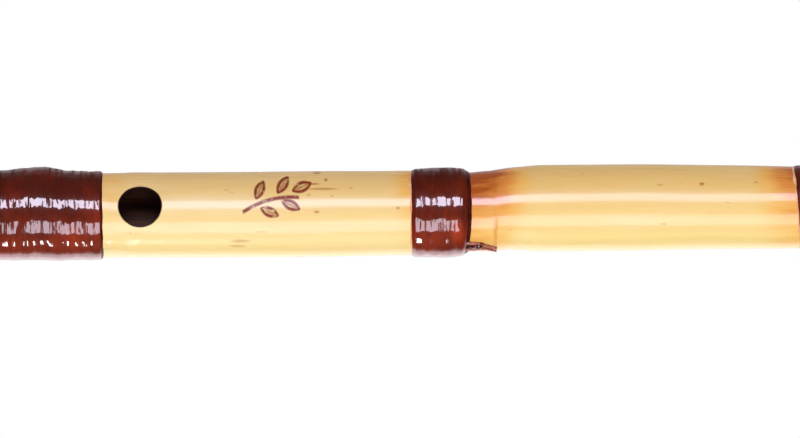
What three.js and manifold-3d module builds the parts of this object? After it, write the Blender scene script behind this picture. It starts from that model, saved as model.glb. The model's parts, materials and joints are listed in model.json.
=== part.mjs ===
// A seven-segment end-blown cane flute (ney), as one three.js group of named solids.
// One length of giant cane is bored through its six nodes. Five finger holes and a thumb hole are
// burned into it. A lacquered thread binding grips the cane at each node and at the foot, and a
// thin brass sleeve seats over the turned-down head on a thread packing.
// Millimetres. +Z runs up the flute from the foot to the mouth, and -Y is the thumb's side.
import * as THREE from "three";
import { mergeVertices } from "three/addons/utils/BufferGeometryUtils.js";
import Module from "manifold-3d";

const wasm = await Module();
wasm.setup();

// Lengths between the cane's nodes, from the mouth down
const mouthSegment = 62;
const upperSegment = 90;
const thumbSegment = 92.4;
const fingerSegment = 88.4;
const footSegment = 112.2;

// Cane
const headRadius = 10.25;
const footRadius = 9.5;
const boreRadius = 7.4;
const neckDepth = 0.6; // the cane is drawn in just below a node
const neckStep = 4; // it reaches that depth this far below the node's middle
const neckLength = 24;
const shoulderDepth = 0.35; // and a little above one
const shoulderLength = 24;
const crookReach = 0.9; // how far the cane wanders sideways from a straight line
const bowReach = 0.5; // how far a segment bows between its nodes
const budRidgeHeight = 0.6; // the ridge left standing at the node above the thumb hole
const budRidgeLength = 14;
const budRidgeLean = 0.5; // that ridge stands out further on its bud's side
const collarStep = 1; // the bored node walls stand in from the bore by this much
const collarLength = 3;
const collarBevel = 1.2;
const footChamfer = 0.4;

// Holes, each set down from the middle of the node above it
const thumbHoleDrop = 23.8;
const firstHoleDrop = 65;
const secondHoleDrop = 22.4;
const thirdHoleDrop = 48.4;
const fourthHoleDrop = 73.4;
const fifthHoleDrop = 28;
const thumbHoleWidth = 8.9;
const fingerHoleWidth = 8.4;
const holeStretch = 0.6; // the burned holes are this much longer along the cane
const holeFlare = 0.5; // and this much wider outside the wall than in the bore
const holeLineTurn = THREE.MathUtils.degToRad(12); // from the cane's crook plane

// Bindings
const bindingWidth = 13.2;
const wideBindingWidth = 30.2;
const footBindingInset = 4; // from the cut foot
const bedThickness = 0.18; // the inner turns, where they lie thinnest
const bedEdgeThickness = 0.08;
const bedHeadTaper = 2.4; // length over which the bed rises on its mouth side
const bedFootTaper = 1;
const threadWidth = 1.1; // a turn of the outer layer, pressed flat under its lacquer
const threadHeight = 0.32;
const threadPitch = 1.6;
const threadInset = 0.4; // from the bed's edges to the first and last turn
const tailLength = 6.2; // the thread's first end, glued down along the cane
const tailWidth = 3.6;
const tailHeight = 0.6;
const tailInset = 0.3; // from the binding's edge
const tailNarrowShare = 0.5; // how much of its width and height the tail loses
const tailTurn = THREE.MathUtils.degToRad(-62);
const tailSlant = THREE.MathUtils.degToRad(-10);

// Head
const sleeveLength = 30;
const sleeveWall = 0.7;
const sleeveReach = 8; // from the cane's end to the playing rim
const rimWidth = 0.3; // the playing rim, after its bevel
const rimBevelLength = 1.6;
const sleeveFootChamfer = 0.25;
const tenonDepth = 0.8; // the cane is turned down by this much for the sleeve
const packingThickness = 0.4;
const packingInset = 1.5;

// Clearances and cuts
const seatGap = 0.05; // between one wound layer and what it grips
const sleeveGap = 0.1; // between sleeve, packing and cane
const endGap = 0.3; // between end faces
const cutOverrun = 2;

// Roundness
const caneSides = 32;
const bindingSides = 24;
const holeSides = 24;
const tailSteps = 6;

// Where the bud ridge's rings lie along it, and a neck's rings from its step to its far end
const ridgeRingShares = [-1 / 2, -1 / 4, 1 / 4, 1 / 2];
const neckRingShares = [0, 1 / 3, 2 / 3, 1];

// The tail's section, two rounded strands side by side, in shares of its half width and its height
const tailSectionShares = [
  [1, 0],
  [0.75, 0.8],
  [0.4, 1],
  [0, 0.7],
  [-0.4, 1],
  [-0.75, 0.8],
  [-1, 0],
  [0, 0],
];

// The six nodes, from the mouth down. Each row has the length of the segment above, how much of
// the full neck and shoulder the cane shows there, how far across the node lies, how much the
// segment above it bows and, where it kinks, how much of its way across lies in its neck.
const nodeTable = [
  { above: mouthSegment, neckShare: 0.6, shoulderShare: 0.4, crookShare: 0, bowShare: 0 },
  { above: upperSegment, neckShare: 0.8, shoulderShare: 0.7, crookShare: 0.35, bowShare: 0.2 },
  { above: upperSegment, neckShare: 0.7, shoulderShare: 0.5, crookShare: -0.3, bowShare: 0.5 },
  { above: upperSegment, neckShare: 0.3, shoulderShare: 0.8, crookShare: -0.95, bowShare: -0.3 },
  { above: thumbSegment, neckShare: 1, shoulderShare: 0, crookShare: -0.22, bowShare: -0.3 },
  { above: fingerSegment, neckShare: 0.8, shoulderShare: 1, crookShare: 1, bowShare: 0.4, kinkShare: 1 },
];
const budNodeIndex = 3;

const smooth = THREE.MathUtils.smoothstep;
const mix = THREE.MathUtils.lerp;

const fluteLength = nodeTable.reduce((sum, row) => sum + row.above, footSegment);
const caneTop = fluteLength - sleeveReach;
const tenonBottom = fluteLength - sleeveLength - endGap;

const nodes = [];
for (const row of nodeTable) {
  const z = (nodes.at(-1)?.z ?? fluteLength) - row.above;
  nodes.push({ ...row, z, bud: nodes.length === budNodeIndex });
}
const budNode = nodes[budNodeIndex];

// The stretch between two nodes, or between a node and an end, that a height lies in
function stretchAt(z) {
  const below = nodes.find((node) => node.z <= z) ?? null;
  const above = nodes.findLast((node) => node.z > z) ?? null;
  return { below, above, bottom: below?.z ?? 0, top: above?.z ?? fluteLength };
}

// 1 at the middle of the bud node's ridge, falling to 0 at its ends
function budRidge(z) {
  const share = Math.min(Math.abs(z - budNode.z) / (budRidgeLength / 2), 1);
  return (1 + Math.cos(Math.PI * share)) / 2;
}

// 1 in the deep of the neck under a node, falling to 0 at the neck's far end
function neckAt(z) {
  const { above, top } = stretchAt(z);
  return above ? 1 - smooth(top - z, neckStep, neckLength) : 0;
}

function naturalRadius(z) {
  const { below, above, bottom } = stretchAt(z);
  const neck = neckDepth * (above?.neckShare ?? 0) * neckAt(z);
  const shoulderLeft = 1 - smooth(z - bottom, 0, shoulderLength);
  const shoulder = shoulderDepth * (below?.shoulderShare ?? 0) * shoulderLeft;
  return mix(footRadius, headRadius, z / fluteLength) - neck - shoulder + budRidgeHeight * budRidge(z);
}

// How far the cane's middle lies from the Z axis, along X
function naturalCrook(z) {
  const { below, above, bottom, top } = stretchAt(z);
  const share = (z - bottom) / (top - bottom);
  const across = mix(share, neckAt(z), below?.kinkShare ?? 0);
  const line = crookReach * mix(below?.crookShare ?? 0, above?.crookShare ?? 0, across);
  const bow = bowReach * (below?.bowShare ?? 0) * Math.sin(Math.PI * share);
  return line + bow + budRidgeLean * budRidge(z);
}

// The cane's outer rings, from the foot up. Between two of them its wall runs straight.
function caneRingHeights() {
  const heights = [0, footChamfer, tenonBottom];
  for (const { z, bud } of nodes) {
    heights.push(z, z + shoulderLength);
    for (const share of neckRingShares) heights.push(z - mix(neckStep, neckLength, share));
    if (bud) {
      for (const share of ridgeRingShares) heights.push(z + budRidgeLength * share);
    }
  }
  return heights.filter((z) => z <= tenonBottom).sort((a, b) => a - b);
}

const caneRings = caneRingHeights().map((z) => ({
  z,
  radius: naturalRadius(z),
  crook: naturalCrook(z),
}));

function alongCane(z, quantity) {
  const next = caneRings.findIndex((ring) => ring.z >= z);
  if (next === -1) return caneRings.at(-1)[quantity];
  if (next === 0) return caneRings[0][quantity];
  const [low, high] = [caneRings[next - 1], caneRings[next]];
  return mix(low[quantity], high[quantity], (z - low.z) / (high.z - low.z));
}

const caneRadiusAt = (z) => alongCane(z, "radius");
const crookAt = (z) => alongCane(z, "crook");

// The corner radius of a many-sided ring whose flats stay outside a circle
const clearOf = (radius, sides) => radius / Math.cos(Math.PI / sides);

// A point on a circle round the cane's crooked middle. Turn 0 faces -Y, and it grows towards +X.
function aroundCane(radius, turn, z) {
  return [crookAt(z) + radius * Math.sin(turn), -radius * Math.cos(turn), z];
}

// Revolves a closed profile of [radius, height] points round the cane's crooked middle
function turned(profile, sides) {
  const outline = [...profile, profile[0]].map(([radius, z]) => new THREE.Vector2(radius, z));
  const geometry = new THREE.LatheGeometry(outline, sides);
  geometry.rotateX(Math.PI / 2);
  const position = geometry.getAttribute("position");
  for (let i = 0; i < position.count; i++) {
    position.setX(i, position.getX(i) + crookAt(position.getZ(i)));
  }
  return geometry;
}

function toSolid(geometry) {
  const bare = geometry.clone();
  bare.deleteAttribute("normal");
  bare.deleteAttribute("uv");
  const merged = mergeVertices(bare);
  const mesh = new wasm.Mesh({
    numProp: 3,
    vertProperties: merged.getAttribute("position").array,
    triVerts: new Uint32Array(merged.getIndex().array),
  });
  return new wasm.Manifold(mesh);
}

function toGeometry(solid) {
  const mesh = solid.getMesh();
  const geometry = new THREE.BufferGeometry();
  geometry.setAttribute("position", new THREE.BufferAttribute(mesh.vertProperties, 3));
  geometry.setIndex(new THREE.BufferAttribute(mesh.triVerts, 1));
  geometry.computeVertexNormals();
  return geometry;
}

// Cane: from the mouth down its inside is a level bore with a bevelled collar at each node. It
// keeps to the cane's line, with one more ring where each neck ends.
function boreProfile() {
  const collarRadius = boreRadius - collarStep;
  const half = collarLength / 2;
  const collars = nodes.flatMap(({ z }) => [
    [boreRadius, z + half + collarBevel],
    [collarRadius, z + half],
    [collarRadius, z - half],
    [boreRadius, z - half - collarBevel],
    [boreRadius, z - neckLength],
  ]);
  return [[boreRadius, caneTop], ...collars, [boreRadius, 0]];
}

// An oval cutter that flares out through the wall, where turn 0 is the thumb's side
function holeCutter({ z, width, turn }) {
  const inner = boreRadius / 2;
  const outer = headRadius + cutOverrun;
  const flarePerLength = holeFlare / (caneRadiusAt(z) - boreRadius);
  const outerWidth = width + flarePerLength * (outer - boreRadius);
  const innerWidth = width - flarePerLength * (boreRadius - inner);
  const cutter = new THREE.CylinderGeometry(innerWidth / 2, outerWidth / 2, outer - inner, holeSides);
  cutter.scale(1, 1, (width + holeStretch) / width);
  cutter.translate(0, -(outer + inner) / 2, 0);
  cutter.rotateZ(holeLineTurn + turn);
  cutter.translate(crookAt(z), 0, z);
  return toSolid(cutter);
}

const [nodeFour, nodeFive, nodeSix] = nodes.slice(budNodeIndex);
const thumbSide = { width: thumbHoleWidth, turn: 0 };
const fingerSide = { width: fingerHoleWidth, turn: Math.PI };
const holes = [
  { z: nodeFour.z - thumbHoleDrop, ...thumbSide },
  { z: nodeFour.z - firstHoleDrop, ...fingerSide },
  { z: nodeFive.z - secondHoleDrop, ...fingerSide },
  { z: nodeFive.z - thirdHoleDrop, ...fingerSide },
  { z: nodeFive.z - fourthHoleDrop, ...fingerSide },
  { z: nodeSix.z - fifthHoleDrop, ...fingerSide },
];

const tenonRadius = headRadius - tenonDepth;

function caneBody() {
  const outside = caneRings.map(({ z, radius }) => [z === 0 ? radius - footChamfer : radius, z]);
  outside.push([tenonRadius, tenonBottom], [tenonRadius, caneTop]);
  let cane = toSolid(turned([...outside, ...boreProfile()], caneSides));
  for (const hole of holes) cane = cane.subtract(holeCutter(hole));
  return toGeometry(cane);
}

// Head: packing on the tenon, and the sleeve over it
const packingRadius = clearOf(tenonRadius + sleeveGap, caneSides);
const sleeveBore = clearOf(packingRadius + packingThickness + sleeveGap, caneSides);

function sleevePacking() {
  const outer = packingRadius + packingThickness;
  const bottom = tenonBottom + packingInset;
  const top = caneTop - packingInset;
  return turned([[packingRadius, bottom], [outer, bottom], [outer, top], [packingRadius, top]], caneSides);
}

function mouthSleeve() {
  const bottom = tenonBottom + endGap;
  const outer = sleeveBore + sleeveWall;
  const profile = [
    [sleeveBore, bottom],
    [outer - sleeveFootChamfer, bottom],
    [outer, bottom + sleeveFootChamfer],
    [outer, fluteLength - rimBevelLength],
    [sleeveBore + rimWidth, fluteLength],
    [sleeveBore, fluteLength],
  ];
  return turned(profile, caneSides);
}

// A binding's bed of inner turns. Its inside follows the cane. Its outside runs level over the
// neck below a node, but follows the bud node's ridge.
function bedOf({ z, width, bud }) {
  const bottom = z - width / 2;
  const top = z + width / 2;
  const rings = caneRings.map((ring) => ring.z).filter((h) => h > bottom && h < top);
  const heights = [bottom, ...rings, top];
  const inside = (h) => clearOf(caneRadiusAt(h) + seatGap, bindingSides);
  const level = Math.max(...heights.map(inside)) + bedThickness;
  const crest = (h) => (bud ? inside(h) + bedThickness : level);
  const inner = heights.map((h) => [inside(h), h]);
  const crestHeights = rings.filter((h) => h > bottom + bedFootTaper && h < top - bedHeadTaper);
  const outer = [
    [inside(bottom) + bedEdgeThickness, bottom],
    [crest(bottom + bedFootTaper), bottom + bedFootTaper],
    ...(bud ? crestHeights.map((h) => [crest(h), h]) : []),
    [crest(top - bedHeadTaper), top - bedHeadTaper],
    [inside(top) + bedEdgeThickness, top],
  ];
  return { bottom, top, outer, profile: [...outer, ...inner.reverse()] };
}

// Radius of a bed's outside at a height
function bedRadiusAt({ outer }, z) {
  const next = Math.max(1, outer.findIndex(([, height]) => height >= z));
  const [[lowRadius, low], [highRadius, high]] = [outer[next - 1], outer[next]];
  return mix(lowRadius, highRadius, (z - low) / (high - low));
}

// A closed tube through rings of points, each ring anticlockwise seen from the tube's far end
function tube(rings) {
  const count = rings[0].length;
  const index = [];
  for (let i = 0; i + 1 < rings.length; i++) {
    for (let k = 0; k < count; k++) {
      const next = (k + 1) % count;
      const [a, b, c, d] = [i * count + k, i * count + next, (i + 1) * count + next, (i + 1) * count + k];
      index.push(a, b, c, a, c, d);
    }
  }
  const last = (rings.length - 1) * count;
  for (let k = 0; k + 2 < count; k++) {
    index.push(count - 1, k + 1, k, last + count - 1, last + k, last + k + 1);
  }
  const geometry = new THREE.BufferGeometry();
  geometry.setAttribute("position", new THREE.Float32BufferAttribute(rings.flat(2), 3));
  geometry.setIndex(index);
  geometry.computeVertexNormals();
  return geometry;
}

// Prints the least distance between points of a winding that lie half a turn or more apart on it
function printLeastGap(name, rings, turns) {
  const apart = bindingSides / 2;
  let least = Infinity;
  rings.forEach((ring, i) => {
    const others = rings.slice(i + apart, i + apart + 2 * bindingSides).flat();
    for (const point of ring) {
      for (const other of others) {
        least = Math.min(least, Math.hypot(...point.map((value, axis) => value - other[axis])));
      }
    }
  });
  console.log(`${name}: ${turns} turns, least gap between them ${least.toFixed(2)} mm`);
}

// One unbroken thread, wound up its bed as a helix, with a flat side on the bed
function outerTurns(name, bed) {
  const lowest = bed.bottom + threadInset + threadWidth / 2;
  const highest = bed.top - threadInset - threadWidth / 2;
  const turns = Math.max(1, Math.floor((highest - lowest) / threadPitch));
  const half = threadWidth / 2;
  const rings = [];
  for (let step = 0; step <= turns * bindingSides; step++) {
    const turn = (step / bindingSides) * 2 * Math.PI;
    const z = mix(lowest, highest, step / (turns * bindingSides));
    const foot = Math.max(bedRadiusAt(bed, z - half), bedRadiusAt(bed, z), bedRadiusAt(bed, z + half));
    const seat = foot + seatGap;
    rings.push([
      aroundCane(seat, turn, z - half),
      aroundCane(seat, turn, z + half),
      aroundCane(seat + threadHeight, turn, z),
    ]);
  }
  printLeastGap(name, rings, turns);
  return tube(rings);
}

// A two-strand thread end that leaves a binding and narrows along the cane
function threadTail({ bottom }) {
  const rings = [];
  for (let step = 0; step <= tailSteps; step++) {
    const share = step / tailSteps;
    const z = bottom - tailInset - share * tailLength;
    const left = 1 - tailNarrowShare * share;
    const seat = clearOf(caneRadiusAt(z) + seatGap, caneSides);
    const middle = tailTurn + (Math.tan(tailSlant) * share * tailLength) / seat;
    const half = (tailWidth * left) / 2 / seat;
    const rise = tailHeight * left;
    rings.push(
      tailSectionShares.map(([across, up]) => aroundCane(seat + rise * up, middle + half * across, z)),
    );
  }
  return tube(rings);
}

// Finishes
const caneFinish = new THREE.MeshStandardMaterial({ color: 0xe8c887, roughness: 0.35 });
const lacquerFinish = new THREE.MeshStandardMaterial({ color: 0x6e2a1a, roughness: 0.25 });
const brassFinish = new THREE.MeshStandardMaterial({ color: 0xc9a24b, roughness: 0.3, metalness: 1 });
const packingFinish = new THREE.MeshStandardMaterial({ color: 0xd8cbb0, roughness: 0.9 });

// The flute
const flute = new THREE.Group();

function addPiece(name, geometry, finish) {
  const piece = new THREE.Mesh(geometry, finish.clone());
  piece.name = name;
  flute.add(piece);
}

addPiece("cane_body", caneBody(), caneFinish);
addPiece("sleeve_packing", sleevePacking(), packingFinish);
addPiece("mouth_sleeve", mouthSleeve(), brassFinish);

const bindings = nodes.map(({ z, bud }, i) => ({
  name: `binding_${i + 1}`,
  z,
  width: bud ? wideBindingWidth : bindingWidth,
  bud,
}));
bindings.push({ name: "foot_binding", z: footBindingInset + bindingWidth / 2, width: bindingWidth });

for (const binding of bindings) {
  const bed = bedOf(binding);
  addPiece(`${binding.name}_bed`, turned(bed.profile, bindingSides), lacquerFinish);
  addPiece(`${binding.name}_thread`, outerTurns(`${binding.name}_thread`, bed), lacquerFinish);
}
addPiece("binding_5_tail", threadTail(bedOf(bindings[budNodeIndex + 1])), lacquerFinish);

export default flute;
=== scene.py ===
import bpy
import json
import math
import numpy as np
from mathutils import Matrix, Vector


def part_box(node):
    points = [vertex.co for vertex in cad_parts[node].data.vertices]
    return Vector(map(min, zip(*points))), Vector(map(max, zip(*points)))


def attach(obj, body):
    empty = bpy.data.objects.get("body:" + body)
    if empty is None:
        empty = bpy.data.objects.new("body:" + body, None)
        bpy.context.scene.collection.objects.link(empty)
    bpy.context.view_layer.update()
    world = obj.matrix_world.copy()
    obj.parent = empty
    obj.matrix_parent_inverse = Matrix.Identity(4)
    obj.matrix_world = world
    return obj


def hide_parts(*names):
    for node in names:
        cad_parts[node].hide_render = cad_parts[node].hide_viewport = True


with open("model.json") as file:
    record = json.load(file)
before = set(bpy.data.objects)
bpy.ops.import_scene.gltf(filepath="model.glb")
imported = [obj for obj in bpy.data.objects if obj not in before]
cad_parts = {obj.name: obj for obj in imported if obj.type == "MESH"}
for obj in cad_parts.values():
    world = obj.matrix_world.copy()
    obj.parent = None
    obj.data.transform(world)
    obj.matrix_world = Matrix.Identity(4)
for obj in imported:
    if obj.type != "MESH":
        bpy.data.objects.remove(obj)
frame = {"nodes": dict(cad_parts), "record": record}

# The flute stands on its foot: +Z runs up to the mouth, and the thumb hole faces -Y.
# A turn is an angle round the cane, from -Y towards +X.
mm = 0.001
fullTurn = 2 * math.pi
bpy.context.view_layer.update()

# the picture: where its pixels lie on the flute
photo = {
    "wide": 800,
    "high": 438,
    "pixel": 0.22936 * mm,      # one pixel on the flute
    "nodeColumn": 37,           # picture column of the fourth node
    "middleSide": -1.69 * mm,   # X of the picture's middle row
    "distance": 3.0,            # camera to flute
    "sensor": 36,
    "standOff": 0.3 * mm,       # how far things on the skin stand off it
    "widest": 0.98,             # rows further out than this share of the radius are brought in
}

skinSet = {
    "leastRadius": 8.4 * mm,    # the CAD's points nearer the middle belong to its bore and holes
    "leastPoints": 24,          # of a ring in the CAD's cane
    "holeTurn": 12.8,           # degrees, the line of holes
    "columns": 120,
    "rowStep": 2 * mm,
    "boreStep": 12 * mm,
    "collarHeight": 1 * mm,     # the bored node walls inside
    "collarHalf": 1.5 * mm,
    "collarBevel": 1.2 * mm,
    "reliefHeight": 0.035 * mm,
    "nodeReliefHeight": 0.05 * mm,
    "nodeReliefReach": 9 * mm,
    "nodeReliefDrop": 2 * mm,   # how far under a binding it is strongest
    "scarDrop": 12.65 * mm,     # leaf scar under each node
    "scarHeight": 0.05 * mm,
    "scarWidth": 0.45 * mm,
    "scarRows": 9,
    "scarHalf": 1.2 * mm,       # how far the finer rows reach from the scar
    "boreEdge": 0.25 * mm,
}

holeSet = {
    "thumbWidth": 9.1 * mm,     # at the bore
    "fingerWidth": 8.4 * mm,
    "flare": 0.5 * mm,          # wider at the skin
    "stretch": 0.25 * mm,       # longer along the cane
    "wobble": 0.012,            # how uneven its outline is
    "lipWidth": 0.1 * mm,
    "lipDepth": 0.14 * mm,
    "wallRoughness": 0.05 * mm,
    "windowColumns": 28,        # the patch of the cane's grid that a hole takes the place of
    "windowHalf": 6.6 * mm,
    "windowRows": 14,
    "windowSpare": 2 * mm,      # between a window and the rows of a leaf scar
    # rings of points round a hole, as shares of the way from its window to its lip, over the lip,
    # down its wall, and out to its window in the bore
    "skinRings": (0.3, 0.55, 0.75, 0.88, 1.0),
    "lipRings": (0.25, 0.5, 0.75, 1.0),
    "wallRings": (0.2, 0.4, 0.6, 0.8),
    "boreRings": (0.35, 0.7),
}


def heightAt(column):
    return nodeHeights["binding_4"] - (column - photo["nodeColumn"]) * photo["pixel"]


def sideAt(row):
    return photo["middleSide"] - (row - photo["high"] / 2) * photo["pixel"]


def pointsOf(name):
    mesh = frame["nodes"][name].data
    flat = np.zeros(len(mesh.vertices) * 3, np.float32)
    mesh.vertices.foreach_get("co", flat)
    return flat.reshape(-1, 3).astype(float)


def fromAxis(points):
    return np.hypot(points[:, 0], points[:, 1])


def turnsOf(columns):
    return np.arange(columns) * fullTurn / columns


def partWay(first, second, share):
    return first + (second - first) * share


def smoothCurve(heights, values):
    # a curve through the points that never swings past them
    heights = np.asarray(heights, float)
    values = np.asarray(values, float)
    steps = np.diff(heights)
    slopes = np.diff(values) / steps
    tangents = np.zeros(len(values))
    product = slopes[:-1] * slopes[1:]
    total = slopes[:-1] + slopes[1:]
    safe = np.where(product > 0, total, 1)
    tangents[1:-1] = np.where(product > 0, 2 * product / safe, 0)

    def curve(height):
        height = np.clip(height, heights[0], heights[-1])
        cell = np.clip(np.searchsorted(heights, height) - 1, 0, len(steps) - 1)
        share = (height - heights[cell]) / steps[cell]
        low = (1 + 2 * share) * (1 - share) ** 2 * values[cell]
        low = low + share * (1 - share) ** 2 * steps[cell] * tangents[cell]
        high = share ** 2 * (3 - 2 * share) * values[cell + 1]
        return low + high - share ** 2 * (1 - share) * steps[cell] * tangents[cell + 1]

    return curve


def ripples(seed, count, mostAround, shortest, longest):
    # a bumpy field over turn and height, about -2 to 2, that closes round the cane
    dice = np.random.default_rng(seed)
    around = dice.integers(-mostAround, mostAround + 1, count)
    along = fullTurn / dice.uniform(shortest, longest, count)
    start = dice.uniform(0, fullTurn, count)

    def field(turn, height):
        total = 0
        for wave in range(count):
            total = total + np.sin(around[wave] * turn + along[wave] * height + start[wave])
        return total / math.sqrt(count / 2)

    return field


def readRings(points):
    # the CAD cane's rings: height, middle and radius of each
    levels = np.round(points[:, 2], 5)
    rings = []
    for level in np.unique(levels):
        ring = np.unique(np.round(points[levels == level], 6), axis=0)
        ring = ring[fromAxis(ring) > skinSet["leastRadius"]]
        if len(ring) < skinSet["leastPoints"]:
            continue
        sums = np.c_[2 * ring[:, :2], np.ones(len(ring))]
        fit = np.linalg.lstsq(sums, (ring[:, :2] ** 2).sum(1), rcond=None)[0]
        rings.append((level, fit[0], fromAxis(ring[:, :2] - fit[:2]).max()))
    return np.array(rings)


bindingNames = ["foot_binding"] + ["binding_" + str(number) for number in range(6, 0, -1)]
spans = {}
nodeHeights = {}
for bindingName in bindingNames:
    lowCorner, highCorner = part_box(bindingName + "_bed")
    spans[bindingName] = (lowCorner.z, highCorner.z)
    nodeHeights[bindingName] = (lowCorner.z + highCorner.z) / 2
nodeNames = bindingNames[1:]

canePoints = pointsOf("cane_body")
caneRings = readRings(canePoints)
topHeight = caneRings[-1][0]
tenonRadius = caneRings[-1][2]
footRadius = caneRings[0][2]
stepHeight = caneRings[-2][0]
skinRings = caneRings[1:-1]
skinRadius = smoothCurve(skinRings[:, 0], skinRings[:, 2])
skinMiddle = smoothCurve(skinRings[:, 0], skinRings[:, 1])
atFoot = canePoints[:, 2] < 0.1 * mm
boreRadius = fromAxis(canePoints)[atFoot].min()
print("read the cane: rings", len(caneRings), "bore radius", round(boreRadius / mm, 3), "mm")

slowRelief = ripples(3, 14, 3, 25 * mm, 120 * mm)
nodeRelief = ripples(5, 14, 7, 6 * mm, 18 * mm)


def reliefAt(turn, height):
    # the cane's own unevenness, stronger just under a node, and the scar a leaf left there
    total = skinSet["reliefHeight"] * (slowRelief(turn, height) - 1)
    near = 0
    for name in nodeNames:
        fromEdge = (height - spans[name][0] + skinSet["nodeReliefDrop"]) / skinSet["nodeReliefReach"]
        near = near + np.exp(-fromEdge ** 2)
        scar = (height - nodeHeights[name] + skinSet["scarDrop"]) / skinSet["scarWidth"]
        total = total + skinSet["scarHeight"] * np.exp(-scar ** 2)
    return total + near * skinSet["nodeReliefHeight"] * (nodeRelief(turn, height) - 1)


def ringPoint(middle, radius, turn, height):
    # a point, or a ring of them, at a radius round a middle
    side = middle + radius * np.sin(turn)
    return np.stack([side, -radius * np.cos(turn), height + 0 * turn], -1)


def onSkin(turn, height, lift=0.0):
    # a point over the cane's skin; lift is how far above it
    return ringPoint(skinMiddle(height), skinRadius(height) + reliefAt(turn, height) + lift, turn, height)


def linked(name, data):
    thing = bpy.data.objects.new(name, data)
    bpy.context.scene.collection.objects.link(thing)
    return thing


def makePiece(name, points, faces, materials, kinds=None, sharp=40):
    # kinds gives each face its material; edges bent by more than sharp degrees stay crisp
    mesh = bpy.data.meshes.new(name)
    mesh.from_pydata(np.asarray(points).tolist(), [], faces)
    for material in materials:
        mesh.materials.append(material)
    if kinds is not None:
        mesh.polygons.foreach_set("material_index", kinds)
    mesh.shade_smooth()
    mesh.set_sharp_from_angle(angle=math.radians(sharp))
    mesh.validate()
    piece = linked(name, mesh)
    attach(piece, "root")
    return piece


def loopFaces(rows, columns, first=0, closed=True, flipped=False):
    # quads between rows of points; the rows close round, and closed joins the last row to the first
    faces = []
    for row in range(rows if closed else rows - 1):
        low = first + row * columns
        high = first + (row + 1) % rows * columns
        for column in range(columns):
            beside = (column + 1) % columns
            face = (low + column, low + beside, high + beside, high + column)
            faces.append(face[:1] + face[:0:-1] if flipped else face)
    return faces


def makeTube(name, rows, materials, kinds=None, sharp=40):
    faces = loopFaces(len(rows), len(rows[0]))
    return makePiece(name, np.concatenate(rows), faces, materials, kinds, sharp)


def operator(operation, reflected=False):
    # a method that joins a socket and another value through a Math node
    def method(sock, other=0.0):
        first, second = (other, sock) if reflected else (sock, other)
        return sock.maths(operation, first, second)

    return method


# a shader socket, which numbers and other sockets can be added to, multiplied by and so on
class Sock:
    def __init__(self, tree, socket=None):
        self.tree = tree
        self.socket = socket

    def add(self, kind, settings=None, inputs=None, out=0):
        # a node with its settings, and with values or links on its sockets
        node = self.tree.nodes.new("ShaderNode" + kind)
        for name, value in (settings or {}).items():
            setattr(node, name, value)
        for name, value in (inputs or {}).items():
            if isinstance(value, Sock):
                self.tree.links.new(value.socket, node.inputs[name])
            else:
                node.inputs[name].default_value = value
        return Sock(self.tree, node.outputs[out] if len(node.outputs) else None)

    def maths(self, operation, first, second=0.0):
        return self.add("Math", {"operation": operation}, {0: first, 1: second})

    __add__ = operator("ADD")
    __radd__ = operator("ADD", reflected=True)
    __sub__ = operator("SUBTRACT")
    __rsub__ = operator("SUBTRACT", reflected=True)
    __mul__ = operator("MULTIPLY")
    __rmul__ = operator("MULTIPLY", reflected=True)
    __truediv__ = operator("DIVIDE")
    __abs__ = operator("ABSOLUTE")
    __lt__ = operator("LESS_THAN")
    __gt__ = operator("GREATER_THAN")


def paint(red, green, blue):
    # a screen colour, 0 to 255, as the shader's own
    shades = []
    for value in (red, green, blue):
        share = value / 255
        shades.append(share / 12.92 if share <= 0.04045 else ((share + 0.055) / 1.055) ** 2.4)
    return (*shades, 1)


def newMaterial(name):
    # a material, its first socket, and places on the object in millimetres
    material = bpy.data.materials.new(name)
    material.use_nodes = True
    material.node_tree.nodes.clear()
    start = Sock(material.node_tree)
    coords = start.add("TexCoord", out="Object")
    place = start.add("VectorMath", {"operation": "SCALE"}, {0: coords, "Scale": 1 / mm})
    return material, start, place


def finishMaterial(start, inputs):
    shader = start.add("BsdfPrincipled", None, inputs)
    start.add("OutputMaterial", None, {"Surface": shader})


def eased(value, low, high, atLow, atHigh):
    inputs = {"Value": value, "From Min": low, "From Max": high, "To Min": atLow, "To Max": atHigh}
    return value.add("MapRange", {"interpolation_type": "SMOOTHSTEP"}, inputs)


def between(value, low, high, top=1.0):
    # eased from 0 at low to top at high
    return eased(value, low, high, 0.0, top)


def fade(value, low, high, top=1.0):
    # eased from top at low down to 0 at high
    return eased(value, low, high, top, 0.0)


def mixed(share, first, second, blend="MIX"):
    settings = {"data_type": "RGBA", "blend_type": blend}
    return share.add("Mix", settings, {0: share, 6: first, 7: second}, out=2)


def tinted(share, first, second):
    # the first colour, multiplied by the second
    return mixed(share, first, second, "MULTIPLY")


def grain(place, stretch, detail=3.0, roughness=0.5, offset=0.0):
    # noise in a stretched space, centred on 0.5; stretch is in waves for each millimetre
    numbers = {0: place, 1: stretch, 2: (offset,) * 3}
    spread = place.add("VectorMath", {"operation": "MULTIPLY_ADD"}, numbers)
    inputs = {"Vector": spread, "Scale": 1.0, "Detail": detail, "Roughness": roughness}
    return place.add("TexNoise", None, inputs)


def movedFrom(place, centre):
    return place.add("VectorMath", {"operation": "SUBTRACT"}, {0: place, 1: centre})


def reachFrom(place, centre, scale=(1, 1, 1)):
    # how far a place is from a centre, in a stretched space
    scaled = place.add("VectorMath", {"operation": "MULTIPLY"}, {0: movedFrom(place, centre), 1: scale})
    return place.add("VectorMath", {"operation": "LENGTH"}, {0: scaled}, out="Value")


def pictureSpot(column, row):
    return (sideAt(row) / mm, 0.0, heightAt(column) / mm)


def apart(place):
    # the three numbers of a vector
    outputs = place.add("SeparateXYZ", None, {0: place}).socket.node.outputs
    return [Sock(place.tree, output) for output in outputs]


def bumped(start, height, depth, strength=1.0):
    return start.add("Bump", None, {"Height": height, "Distance": depth, "Strength": strength})


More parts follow.
